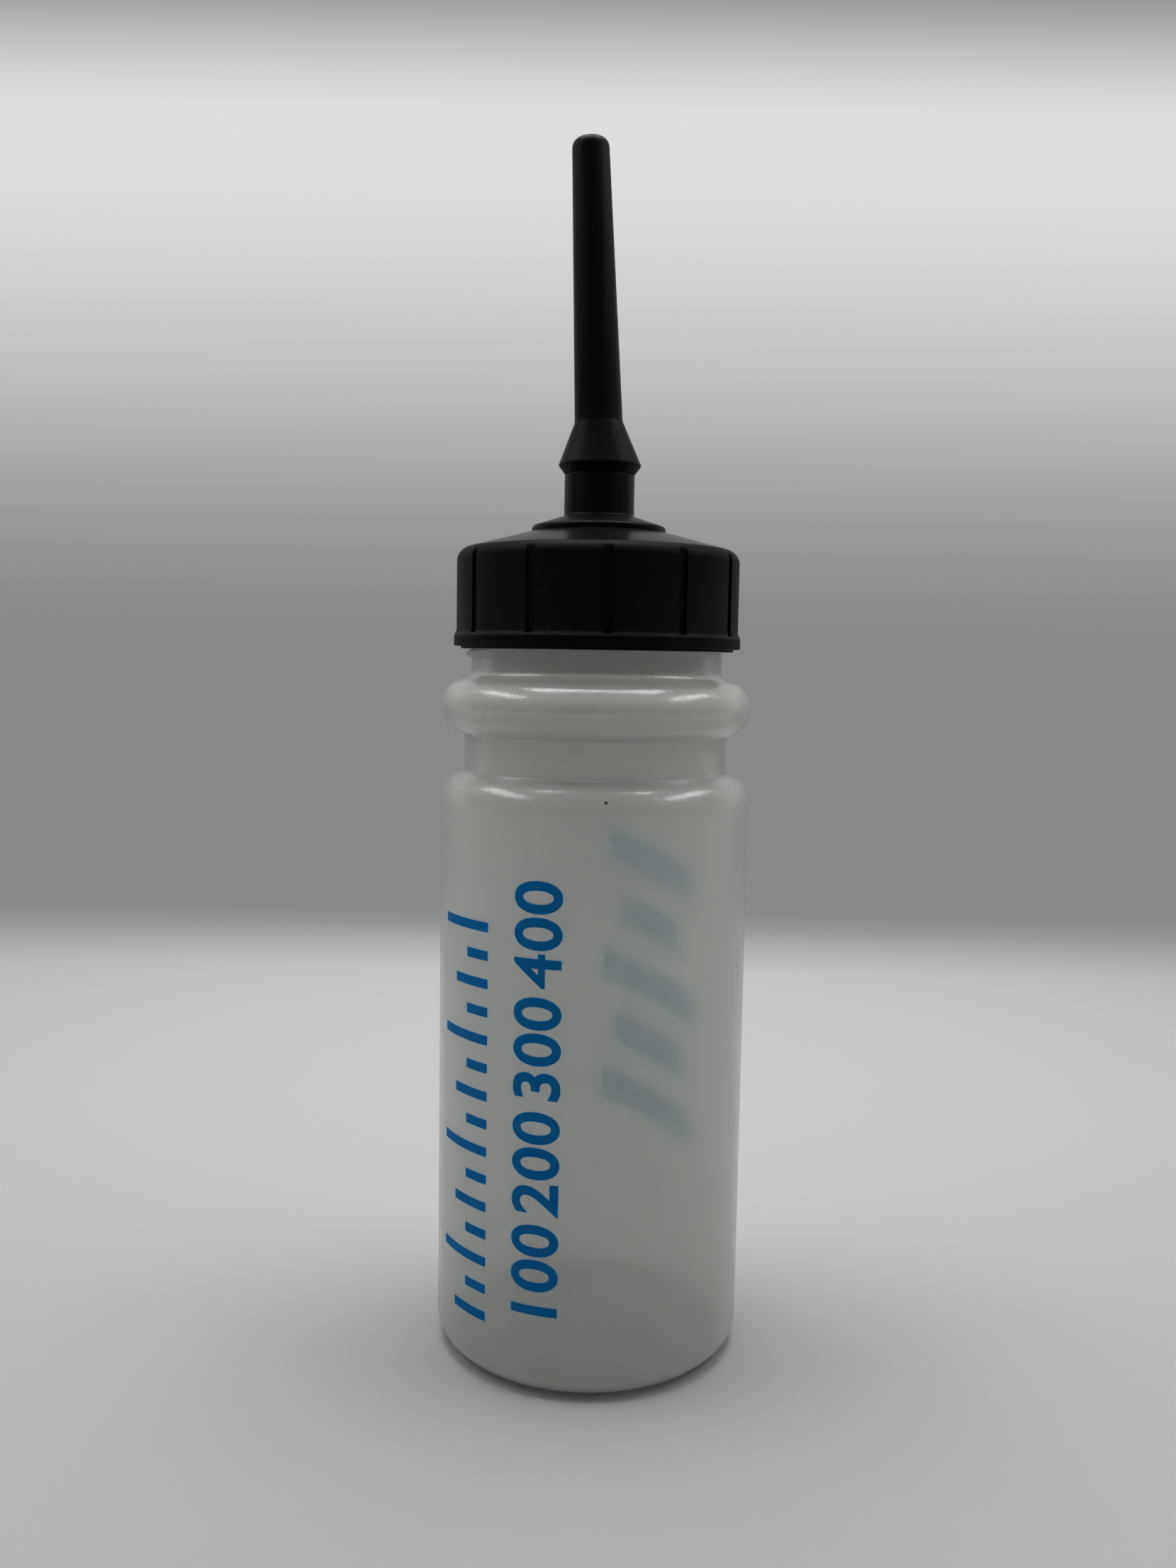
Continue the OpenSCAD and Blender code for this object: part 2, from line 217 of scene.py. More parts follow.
class SpoutSizes(bpy.types.PropertyGroup):
    """Sizes of the spout's base, its sliding straw and their O-ring."""

    disc_r: length("Disc radius", "Radius of the disc that lies on the cap", BASE_HIGH.x / MM)
    snap_z: length("Snap height", "Height of the snapped-in lower end", BASE_LOW.z / MM)
    tube_top: length("Tube top", "Height of the tube's top", BASE_HIGH.z / MM)
    tube_r: length("Tube radius", "Outside radius of the tube", 8.2)
    tube_bore_r: length("Tube bore", "Radius of the tube's bore", 6.6)
    tube_lip: length("Tube lip", "Height of the inward lip at the tube's top", 1.6)
    disc_h: length("Disc height", "Height of the disc where the tube stands on it", 3.7)
    disc_edge: length("Disc edge", "Height of the disc's straight edge", 0.7)
    disc_round: length("Disc rounding", "Rounding of the disc's upper edge", 0.8)
    stem_z: length("Stem end", "Height of the sliding stem's lower end", STRAW_LOW.z / MM)
    stem_r: length("Stem radius", "Radius of the sliding stem", 6.2)
    stem_bore_r: length("Stem bore", "Radius of the stem's bore", 3.5)
    seal_t: length("O-ring", "Thickness of the O-ring", 1.6)
    collar_r: length("Collar radius", "Radius of the collar's lip", 9.6)
    collar_under: length("Collar underside", "Height of the slope under the collar's lip", 2.1)
    collar_h: length("Collar height", "Height of the collar's cone above its lip", 9.7)
    straw_r: length("Straw radius", "Radius of the straw where it leaves the collar", 5.6)
    tip_r: length("Tip radius", "Radius of the straw below its rounded tip", 4.3)
    tip_round: length("Tip rounding", "Rounding of the tip", 2.4)
    straw_len: length("Straw length", "Length of the straw above the collar", 64)
    straw_bore_r: length("Straw bore", "Radius of the straw's bore", 3.1)
    outlet_r: length("Outlet radius", "Radius of the outlet in the tip", 1.5)
    outlet_len: length("Outlet length", "Length of the outlet", 4)
    lean: turn("Lean", "Lean of the straw and the collar's cone towards -X", 2.6)
    gap: length("Seat gap", "Gap between faces that seat on each other", SEAT_GAP)


class PrintSizes(bpy.types.PropertyGroup):
    """Layout of the printed fill scale."""

    film: length("Ink film", "How far the ink stands out from the wall", 0.03)
    first_z: length("Scale foot", "Height of the 100 mark", 28.3)
    step_z: length("Scale step", "Rise of the scale for each 100", 25.55)
    numbers: bpy.props.IntProperty(name="Numbers", description="Count of numbered marks", default=4, min=1)
    digit_h: length("Digit height", "Height of the printed digits", 11)
    digit_foot: length("Digit place", "Way round the wall from the front to the digits' feet", 7)
    mark_foot: length("Mark place", "Way round the wall from the front to the marks' near ends", 25)
    mark_t: length("Mark thickness", "Thickness of a mark", 2.2)
    mark_long: length("Long mark", "Length of the mark at each number", 17)
    mark_mid: length("Middle mark", "Length of the mark half-way between numbers", 11.5)
    mark_short: length("Short mark", "Length of the other marks", 7)


class FinishColours(bpy.types.PropertyGroup):
    """Colours of the finishes."""

    bottle: tint("Bottle", "Natural polyethylene of the bottle", "#f6f7f4")
    speck: tint("Speck", "Burnt plastic of the grain in the shoulder", "#191919")
    cap: tint("Cap", "Black polypropylene of the cap", "#080a0a")
    spout: tint("Spout", "Black plastic of the spout's base and straw", "#090b0b")
    gasket: tint("Gasket", "Pale soft rubber of the gasket", "#d7d8d4")
    seal: tint("O-ring", "Dark nitrile rubber of the O-ring", "#26272a")
    ink: tint("Ink", "Blue ink of the print", "#0068d6")
    # The ink shade is a painted shadow: the wall's milk is painted this blue where the bars lie behind it.
    ink_shade: tint("Ink shade", "Milk of the wall with ink behind it", "#00f4ff")
    floor: tint("Floor", "Pale paper of the floor", "#c6c7c5")
    # The floor's near tone is painted shade in front of the bottle. The wall's low, high and top tones are
    # painted shade and light, grey to pale to grey.
    floor_front_shade: tint("Floor, near", "Paper of the floor in front of the bottle", "#adaeac")
    wall_low_shade: tint("Wall, low", "Grey tone of the wall behind the bottle", "#868988")
    wall_lit_high: tint("Wall, high", "Pale tone of the wall above the bottle", "#dcdedc")
    wall_top_shade: tint("Wall, top", "Grey tone above the wall's lit part", "#8e908e")
    room: tint("Room", "Pale tone of the room beyond the paper", "#d9d9d7")


class StageSizes(bpy.types.PropertyGroup):
    """Place of the camera and strength of the lamps."""

    camera_back: length("Camera distance", "How far the camera stands in front of the bottle's axis", 320.5)
    camera_side: length("Camera offset", "How far the camera stands to the right of the bottle's axis", -1.6)
    camera_z: length("Camera height", "Height of the camera", 164.9)
    camera_tilt: turn("Camera tilt", "How far the camera looks down", 5.434)
    camera_roll: turn("Camera roll", "How far the camera is rolled", 0.91)
    lens: amount("Lens", "Focal length for a sensor 36 mm along the picture's long side", 30.92, "CAMERA")
    key_power: amount("Overhead lamp", "Power of the overhead soft lamp", 4.35, "POWER")
    side_power: amount("Side lamps", "Power of each soft lamp at the side", 0.7, "POWER")
    world_level: amount("Room light", "Strength of the light from the room", 0.28)


def arc(centre, radius, start, end, steps):
    """Round stretch of an outline as (radius, height) points, between two angles in degrees."""
    angles = [math.radians(start + (end - start) * i / steps) for i in range(steps + 1)]
    return [(centre[0] + radius * math.cos(a), centre[1] + radius * math.sin(a)) for a in angles]


def lay_outline(bm, points, closed):
    """Lays an outline of (radius, height) points in the XZ plane and returns its vertices and edges."""
    verts = [bm.verts.new((r, 0.0, z)) for r, z in points]
    pairs = list(zip(verts, verts[1:]))
    if closed:
        pairs.append((verts[-1], verts[0]))
    return verts + [bm.edges.new(pair) for pair in pairs]


def close_seams(bm):
    """Merges the doubles at poles and seams and points all faces outwards."""
    bmesh.ops.remove_doubles(bm, verts=bm.verts, dist=MERGE)
    bmesh.ops.recalc_face_normals(bm, faces=bm.faces)


def spin_outline(bm, points, closed, steps):
    """Turns an outline once round the Z axis."""
    geom = lay_outline(bm, points, closed)
    bmesh.ops.spin(
        bm, geom=geom, axis=(0, 0, 1), cent=(0, 0, 0), angle=FULL_TURN, steps=steps, use_merge=True
    )
    close_seams(bm)


def verts_of(geom):
    """Vertices among the elements that an operator returns."""
    return [g for g in geom if isinstance(g, bmesh.types.BMVert)]


def turn_verts(bm, verts, angle):
    """Turns vertices round the Z axis."""
    bmesh.ops.rotate(bm, verts=verts, cent=(0, 0, 0), matrix=Matrix.Rotation(angle, 3, "Z"))


def radius_of(vert):
    """Distance of a vertex from the Z axis."""
    return math.hypot(vert.co.x, vert.co.y)


def round_rings(bm, places, width, segments=3):
    """Rounds the corners of a turned shape that run round the Z axis at the (radius, height) places."""
    def lies_at(vert, place):
        return abs(radius_of(vert) - place[0]) < NEAR and abs(vert.co.z - place[1]) < NEAR

    edges = [e for e in bm.edges if any(all(lies_at(v, p) for v in e.verts) for p in places)]
    if not edges:
        raise ValueError("no corner to round at " + str(places))
    bmesh.ops.bevel(
        bm, geom=edges, offset=width, offset_type="OFFSET", segments=segments, profile=0.5,
        affect="EDGES", material=-1, clamp_overlap=True,
    )


def cut_rows(bm, radius, low, high, rows):
    """Cuts the straight wall of a turned shape into rows between two heights, and returns its vertices."""
    def on_wall(vert):
        return abs(radius_of(vert) - radius) < NEAR and low < vert.co.z < high

    def climbs(edge):
        return abs(edge.verts[0].co.z - edge.verts[1].co.z) > MM

    uprights = [e for e in bm.edges if climbs(e) and all(on_wall(v) for v in e.verts)]
    bmesh.ops.subdivide_edges(bm, edges=uprights, cuts=rows, use_grid_fill=True)
    return [v for v in bm.verts if on_wall(v)]


def raise_thread(verts, sizes, way, start, start_z, turns):
    """Pushes a wall's vertices out (way 1) or in (way -1) into a helical ridge that fades at both ends."""
    flank = (sizes.foot_w - sizes.crest_w) / 2 / sizes.depth
    fade_turns = 0.12
    for vert in verts:
        along = (math.atan2(vert.co.y, vert.co.x) - start) / FULL_TURN
        height = 0.0
        for lap in range(-2, int(turns) + 3):
            s = along + lap
            if 0 <= s <= turns:
                off = abs(vert.co.z - start_z - sizes.lead * s)
                full = min(1, s / fade_turns, (turns - s) / fade_turns)
                height = max(height, min(sizes.depth * full, (sizes.foot_w / 2 - off) / flank))
        if height > 0:
            grow = 1 + way * height / radius_of(vert)
            vert.co.x *= grow
            vert.co.y *= grow


def make_piece(name, bm, material):
    """Turns a bmesh into a smooth-shaded object at the origin, with its material."""
    mesh = bpy.data.meshes.new(name)
    bm.to_mesh(mesh)
    bm.free()
    mesh.shade_smooth()
    mesh.set_sharp_from_angle(angle=SHARP)
    mesh.materials.append(material)
    piece = bpy.data.objects.new(name, mesh)
    bpy.context.scene.collection.objects.link(piece)
    return piece


def open_socket(sockets, name=None):
    """First socket that a node's settings leave in use, of that name if one is given."""
    return next(s for s in sockets if s.enabled and name in (None, s.name))


def add_node(tree, kind, inputs=None, **settings):
    """Adds a node with its own settings, and sets or links its inputs, by name or by number.

    A node that is given as an input stands for its first output."""
    node = tree.nodes.new(kind)
    for key, value in settings.items():
        setattr(node, key, value)
    for key, value in (inputs or {}).items():
        socket = node.inputs[key] if isinstance(key, int) else open_socket(node.inputs, key)
        if isinstance(value, bpy.types.Node):
            value = open_socket(value.outputs)
        if isinstance(value, bpy.types.NodeSocket):
            tree.links.new(value, socket)
        else:
            socket.default_value = value
    return node


def new_material(name):
    """Empty material, with what adds its nodes and the Object coordinates that its patterns follow."""
    material = bpy.data.materials.new(name)
    material.use_nodes = True
    material.node_tree.nodes.clear()
    add = partial(add_node, material.node_tree)
    return material, add, add("ShaderNodeTexCoord").outputs["Object"]


def per_size(mm):
    """Texture scale that gives features of a real size in millimetres."""
    return 1 / (mm * MM)


def opaque(colour, share=1.0, added=0.0):
    """Colour for a colour socket, darkened or lightened by a share and an added grey."""
    return (*(min(1.0, c * share + added) for c in colour), 1.0)


def milky_polyethylene(colours):
    """Natural low-density polyethylene, blown in a polished mould: milky, soft, blurs what shows through."""
    material, add, place = new_material("milky_polyethylene")
    # Wall thickness drifts a little round a blown bottle, so the milkiness clouds over some 30 mm.
    clouds = add("ShaderNodeTexNoise", {"Vector": place, "Scale": per_size(30), "Detail": 2.0})
    thick, thin = opaque(colours.bottle, 0.93), opaque(colours.bottle)
    cloudy = add("ShaderNodeMix", {"Factor": clouds, "A": thick, "B": thin}, data_type="RGBA")
    # Painted shadow of the print: where ink lies on the outside, the milk behind it is painted blue, so a
    # print shows through the bottle as a pale shadow.
    printed = add("ShaderNodeAttribute", attribute_name=INK_SHADE).outputs["Fac"]
    shadow = opaque(colours.ink_shade)
    shadowed = add("ShaderNodeMix", {"Factor": printed, "A": cloudy, "B": shadow}, data_type="RGBA")
    # A dark grain of burnt plastic lies in the shoulder, as moulded bottles often have.
    speck, speck_r, speck_edge = (2.3 * MM, -35.83 * MM, 133.8 * MM), 0.3 * MM, 0.42 * MM
    away = add("ShaderNodeVectorMath", {0: place, 1: speck}, operation="DISTANCE")
    clear = add("ShaderNodeMapRange", {"Value": away, "From Min": speck_r, "From Max": speck_edge})
    base = add("ShaderNodeMix", {"Factor": clear, "A": opaque(colours.speck), "B": shadowed}, data_type="RGBA")
    # The parison stretches as it is blown, which leaves faint upright streaks in the gloss, some 2 mm apart.
    stretched = add("ShaderNodeMapping", {"Vector": place, "Scale": (1.0, 1.0, 0.06)})
    streaks = add("ShaderNodeTexNoise", {"Vector": stretched, "Scale": per_size(2.2), "Detail": 3.0})
    gloss = add("ShaderNodeMapRange", {"Value": streaks, "To Min": 0.06, "To Max": 0.12})
    # The skin is slightly wavy over some 9 mm, where the plastic shrank away from the mould.
    waves = add("ShaderNodeTexNoise", {"Vector": place, "Scale": per_size(9), "Detail": 1.0})
    wavy = add("ShaderNodeBump", {"Height": waves, "Strength": 0.15, "Distance": 0.25 * MM})
    # A fine grain of some 0.6 mm, deepest in the glossy film, breaks up the bright arcs of the lamps.
    grit = add("ShaderNodeTexNoise", {"Vector": place, "Scale": per_size(0.6), "Detail": 2.0})
    skin = add("ShaderNodeBump", {"Height": grit, "Strength": 0.4, "Distance": 0.06 * MM, "Normal": wavy})
    film = add("ShaderNodeBump", {"Height": grit, "Strength": 0.7, "Distance": 0.15 * MM, "Normal": wavy})
    shader = add("ShaderNodeBsdfPrincipled", {
        "Base Color": base, "Roughness": gloss, "Normal": skin, "IOR": 1.51, "Specular IOR Level": 0.0,
        "Transmission Weight": 0.75, "Coat Weight": 1.0, "Coat Roughness": 0.06, "Coat Normal": film,
    })
    # The milk in the wall sends a third of the light on in all directions, so the bottle glows from within.
    milk = add("ShaderNodeBsdfTranslucent", {"Color": base, "Normal": skin})
    wall = add("ShaderNodeMixShader", {0: 0.33, 1: shader, 2: milk})
    add("ShaderNodeOutputMaterial", {"Surface": wall})
    return material


def black_cap_plastic(colour, sizes):
    """Black polypropylene, moulded: spark-eroded fine grain on the skirt and shoulder, polished cone."""
    material, add, place = new_material("black_cap_polypropylene")
    apart = add("ShaderNodeSeparateXYZ", {"Vector": place}).outputs
    flat = add("ShaderNodeCombineXYZ", {"X": apart["X"], "Y": apart["Y"]})
    radius = add("ShaderNodeVectorMath", {0: flat}, operation="LENGTH")
    # The polish of the cone ends at a crisp line where the grained shoulder begins.
    polish_r, edge = sizes.flange_r - 2.75 * MM, 0.15 * MM
    grained = add("ShaderNodeMapRange", {"Value": radius, "From Min": polish_r, "From Max": polish_r + edge})
    # Spark erosion leaves grains of some 0.3 mm in the mould, which break the gloss of the skirt.
    grain = add("ShaderNodeTexNoise", {"Vector": place, "Scale": per_size(0.3), "Detail": 2.0})
    deep = add("ShaderNodeMath", {0: grain, 1: grained}, operation="MULTIPLY")
    bumps = add("ShaderNodeBump", {"Height": deep, "Strength": 0.35, "Distance": 0.06 * MM})
    # Handling leaves fine greyish scuffs, some 3 mm long, that dull the polish.
    scuffs = add("ShaderNodeTexNoise", {
        "Vector": place, "Scale": per_size(3), "Detail": 6.0, "Roughness": 0.7,
    })
    worn = add("ShaderNodeMapRange", {"Value": scuffs, "From Min": 0.55, "From Max": 0.8})
    greyish, sheen_grey = opaque(colour, 1.6, 0.004), opaque(colour, 4, 0.022)
    scuffed = add("ShaderNodeMix", {"Factor": worn, "A": opaque(colour), "B": greyish}, data_type="RGBA")
    # Painted highlight: the foot of the slope above the flange is painted a lighter grey, as if lit from
    # above, broken up unevenly over some 6 mm.
    half = sizes.sheen_h / 2
    slope = add("ShaderNodeMath", {0: apart["Z"], 1: sizes.flange_top + half, 2: half}, operation="COMPARE")
    sheen_breakup = add("ShaderNodeTexNoise", {"Vector": place, "Scale": per_size(6), "Detail": 4.0})
    sheen = add("ShaderNodeMath", {0: slope, 1: sheen_breakup}, operation="MULTIPLY")
    base = add("ShaderNodeMix", {"Factor": sheen, "A": scuffed, "B": sheen_grey}, data_type="RGBA")
    polish = add("ShaderNodeMapRange", {"Value": worn, "To Min": 0.3, "To Max": 0.42})
    rough = add("ShaderNodeMix", {"Factor": grained, "A": polish, "B": 0.52}, data_type="FLOAT")
    shader = add("ShaderNodeBsdfPrincipled", {
        "Base Color": base, "Roughness": rough, "Normal": bumps, "IOR": 1.49, "Specular IOR Level": 0.05,
    })
    add("ShaderNodeOutputMaterial", {"Surface": shader})
    return material


def black_spout_plastic(name, colour, rough, grain_depth):
    """Black polypropylene or polyethylene, moulded: satin, with faint flow lines along the part."""
    material, add, place = new_material(name)
    # Flow lines run up the part, about 1.5 mm apart.
    drawn = add("ShaderNodeMapping", {"Vector": place, "Scale": (1.0, 1.0, 0.08)})
    flow = add("ShaderNodeTexNoise", {"Vector": drawn, "Scale": per_size(1.5), "Detail": 3.0})
    gloss = add("ShaderNodeMapRange", {"Value": flow, "To Min": rough - 0.06, "To Max": rough + 0.08})
    dark, pale = opaque(colour, 0.85), opaque(colour, 1.25)
    grey = add("ShaderNodeMix", {"Factor": flow, "A": dark, "B": pale}, data_type="RGBA")
    # Satin skin: grains of 0.35 mm, drawn a little coarser than the real ones so that they show.
    grain = add("ShaderNodeTexNoise", {"Vector": place, "Scale": per_size(0.35), "Detail": 2.0})
    skin = add("ShaderNodeBump", {"Height": grain, "Strength": grain_depth, "Distance": 0.05 * MM})
    shader = add("ShaderNodeBsdfPrincipled", {
        "Base Color": grey, "Roughness": gloss, "Normal": skin, "IOR": 1.5, "Specular IOR Level": 0.06,
    })
    add("ShaderNodeOutputMaterial", {"Surface": shader})
    return material


def soft_rubber(name, colour):
    """Moulded soft rubber: matt, with a faint dusty bloom."""
    material, add, place = new_material(name)
    # Bloom gathers in patches of some 4 mm.
    bloom = add("ShaderNodeTexNoise", {"Vector": place, "Scale": per_size(4), "Detail": 4.0})
    dark, pale = opaque(colour, 0.9), opaque(colour, 1.1)
    dusty = add("ShaderNodeMix", {"Factor": bloom, "A": dark, "B": pale}, data_type="RGBA")
    gloss = add("ShaderNodeMapRange", {"Value": bloom, "To Min": 0.5, "To Max": 0.7})
    # The mould's grain is about 0.2 mm.
    grain = add("ShaderNodeTexNoise", {"Vector": place, "Scale": per_size(0.2)})
    skin = add("ShaderNodeBump", {"Height": grain, "Strength": 0.3, "Distance": 0.03 * MM})
    shader = add("ShaderNodeBsdfPrincipled", {
        "Base Color": dusty, "Roughness": gloss, "Normal": skin, "IOR": 1.52,
    })
    add("ShaderNodeOutputMaterial", {"Surface": shader})
    return material


def screen_ink(colour):
    """Ultraviolet-cured screen ink: flat and even, with the faint ripple of the screen's mesh."""
    material, add, place = new_material("blue_screen_ink")
    # The ink lies a little thicker in patches of some 5 mm, and the screen's mesh leaves a 0.3 mm ripple.
    patches = add("ShaderNodeTexNoise", {"Vector": place, "Scale": per_size(5), "Detail": 3.0})
    thick, thin = opaque(colour, 0.9), opaque(colour, 1.08)
    cover = add("ShaderNodeMix", {"Factor": patches, "A": thick, "B": thin}, data_type="RGBA")
    mesh = add("ShaderNodeTexNoise", {"Vector": place, "Scale": per_size(0.3)})
    gloss = add("ShaderNodeMapRange", {"Value": mesh, "To Min": 0.32, "To Max": 0.48})
    ripple = add("ShaderNodeBump", {"Height": mesh, "Strength": 0.2, "Distance": 0.02 * MM})
    shader = add("ShaderNodeBsdfPrincipled", {
        "Base Color": cover, "Roughness": gloss, "Normal": ripple, "IOR": 1.5, "Specular IOR Level": 0.25,
    })
    # The film is thin enough to let some blue light through, which tints what shows through the bottle.
    # Light passes both of its faces, so each face takes only a part of the colour.
    tinge = add("ShaderNodeGamma", {"Color": cover, "Gamma": 0.22})
    through = add("ShaderNodeBsdfTranslucent", {"Color": tinge, "Normal": ripple})
    film = add("ShaderNodeMixShader", {0: 0.7, 1: shader, 2: through})
    add("ShaderNodeOutputMaterial", {"Surface": film})
    return material


def backdrop_paper(colours):
    """Matt studio paper: a pale floor that takes the shadow, with painted shade in front, and a wall that
    glows with painted shade and light, from grey to pale and back.
    """
    material, add, place = new_material("studio_paper")
    apart = add("ShaderNodeSeparateXYZ", {"Vector": place}).outputs
    # The paper's fibres are some 0.8 mm long.
    fibre = add("ShaderNodeTexNoise", {"Vector": place, "Scale": per_size(0.8), "Detail": 3.0})
    tooth = add("ShaderNodeBump", {"Height": fibre, "Strength": 0.08, "Distance": 0.1 * MM})
    # Reach of the paper from the bottle, to the sides and in front.
    front = add("ShaderNodeMath", {0: apart["Y"], 1: 0.0}, operation="MINIMUM")
    aside = add("ShaderNodeCombineXYZ", {"X": apart["X"], "Y": front})
    reach = add("ShaderNodeVectorMath", {0: aside}, operation="LENGTH")
    # Spans in metres. The floor pales towards the back, with painted shade in front. The wall takes over from
    # it, then shades as it rises, in painted tones.
    # Away from the lamps, at the sides and in front, the floor glows evenly with its own tone, and fades into
    # the room.
    spans = {
        "front_shade": (apart["Y"], -0.1, 0.3, "LINEAR"),
        "meeting": (apart["Z"], 0.0, 0.006, "LINEAR"),
        "rising": (apart["Z"], 0.0, 0.022, "SMOOTHSTEP"),
        "pale": (apart["Z"], 0.16, 0.56, "SMOOTHSTEP"),
        "grey": (apart["Z"], 0.57, 0.69, "SMOOTHSTEP"),
        "far": (reach, 0.28, 0.65, "SMOOTHSTEP"),
        "fading": (reach, 0.55, 1.3, "SMOOTHSTEP"),
    }
    share = {}
    for name, (value, start, end, ease) in spans.items():
        inputs = {"Value": value, "From Min": start, "From Max": end}
        share[name] = add("ShaderNodeMapRange", inputs, interpolation_type=ease)
    # Over its span each tone turns from one colour to another. A name stands for the tone made under it.
    tone = {}
    for name, before, after in (
        ("front_shade", opaque(colours.floor_front_shade), opaque(colours.floor)),
        ("pale", opaque(colours.wall_low_shade), opaque(colours.wall_lit_high)),
        ("grey", "pale", opaque(colours.wall_top_shade)),
        ("meeting", opaque(colours.floor), "grey"),
        ("fading", "meeting", opaque(colours.room)),
    ):
        inputs = {"Factor": share[name], "A": tone.get(before, before), "B": tone.get(after, after)}
        tone[name] = add("ShaderNodeMix", inputs, data_type="RGBA")
    paper = add("ShaderNodeBsdfPrincipled", {
        "Base Color": tone["front_shade"], "Roughness": 0.8, "Normal": tooth, "IOR": 1.4,
    })
    # The wall glows with its painted tones of shade and light, whatever light falls on it, for the eye and
    # for what shines or is clear.
    glow = add("ShaderNodeEmission", {"Color": tone["fading"], "Strength": 1.0})
    path = add("ShaderNodeLightPath").outputs
    seen = path["Is Camera Ray"]
    for kind in ("Is Glossy Ray", "Is Transmission Ray"):
        seen = add("ShaderNodeMath", {0: seen, 1: path[kind]}, operation="MAXIMUM")
    own = add("ShaderNodeMath", {0: share["rising"], 1: share["far"]}, operation="MAXIMUM")
    glowing = add("ShaderNodeMath", {0: own, 1: seen}, operation="MULTIPLY")
    sweep = add("ShaderNodeMixShader", {0: glowing, 1: paper, 2: glow})
    add("ShaderNodeOutputMaterial", {"Surface": sweep})
    return material


def bottle_outline(s):
    """Wall of the bottle as one outline, from the middle of the base outside to its middle inside.

    Returns the outline and the two corners of the finger groove."""
    foot = (s.body_r - s.foot_round, s.foot_round)
    shoulder = (s.body_r - s.shoulder_round, s.body_h - s.shoulder_round)
    ring_low = (s.body_r - s.ring_round, s.ring_z + s.ring_round)
    ring_high = (s.body_r - s.ring_round, s.ring_top - s.ring_round)
    dome_edge = foot[0] - s.stand_w
    dome_r = (dome_edge ** 2 + s.base_hollow ** 2) / (2 * s.base_hollow)
    dome = (0.0, s.base_hollow - dome_r)
    dome_turn = 90 - math.degrees(math.asin(dome_edge / dome_r))
    shoulder_turn = math.degrees(math.acos((s.groove_r - shoulder[0]) / s.shoulder_round))
    ring_turn = math.degrees(math.acos((s.groove_r - ring_low[0]) / s.ring_round))
    fillet_r = s.neck_r + s.neck_fillet
    fillet_away = s.ring_round + s.neck_fillet
    fillet = (fillet_r, ring_high[1] + math.sqrt(fillet_away ** 2 - (fillet_r - ring_high[0]) ** 2))
    fillet_turn = math.degrees(math.acos((fillet_r - ring_high[0]) / fillet_away))
    shoulder_arc = arc(shoulder, s.shoulder_round, 0, shoulder_turn, 14)
    ring_arc = arc(ring_low, s.ring_round, -ring_turn, 0, 14)
    outer = [
        *arc(dome, dome_r, 90, dome_turn, 10),
        *arc(foot, s.foot_round, -90, 0, 12),
        *shoulder_arc,
        *ring_arc,
        *arc(ring_high, s.ring_round, 0, fillet_turn, 14),
        *arc(fillet, s.neck_fillet, 180 + fillet_turn, 180, 8)[1:],
        (s.neck_r, s.rim_z),
    ]
    groove_in = s.groove_r - s.wall
    shoulder_in = math.degrees(math.acos((groove_in - shoulder[0]) / (s.shoulder_round - s.wall)))
    floor_r = dome_r + s.wall
    floor_turn = math.degrees(math.asin((s.wall - dome[1]) / floor_r))
    inner = [
        (s.bore_r, s.rim_z),
        (s.bore_r, fillet[1]),
        *arc(fillet, s.neck_fillet + s.wall, 180, 180 + fillet_turn, 8)[1:],
        *arc(ring_high, s.ring_round - s.wall, fillet_turn, 0, 10)[1:],
        *arc(ring_low, s.ring_round - s.wall, 0, -90, 10),
        (groove_in, s.ring_z + s.wall),
        *arc(shoulder, s.shoulder_round - s.wall, shoulder_in, 0, 10),
        *arc(foot, s.foot_round - s.wall, 0, -90, 8),
        *arc(dome, floor_r, floor_turn, 90, 10),
    ]
    return outer + inner, [shoulder_arc[-1], ring_arc[0]]


class BOTTLE_OT_body(bpy.types.Operator):
    """Model the blown bottle with its grip ring and threaded neck"""

    bl_idname = "bottle.body"
    bl_label = "Blown Bottle"

    def execute(self, context):
        s = context.scene.bottle_sizes
        thread = context.scene.bottle_thread
        outline, groove_corners = bottle_outline(s)
        bm = bmesh.new()
        spin_outline(bm, outline, closed=False, steps=WIDE_STEPS)
        round_rings(bm, groove_corners, width=0.3 * MM)
        round_rings(bm, [(s.neck_r, s.rim_z), (s.bore_r, s.rim_z)], width=0.4 * MM)
        wall = cut_rows(bm, s.neck_r, s.ring_top, s.rim_z, rows=96)
        raise_thread(wall, thread, 1, thread.start, s.ring_top + thread.rise, thread.neck_turns)
        # Rows on the inside of the body carry the painted soft shadow of the print.
        cut_rows(bm, s.body_r - s.wall, 0.0, s.body_h, rows=60)
        piece = make_piece("blown_bottle", bm, milky_polyethylene(context.scene.bottle_colours))
        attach(piece, "bottle")
        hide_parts("bottle_body")
        return {"FINISHED"}


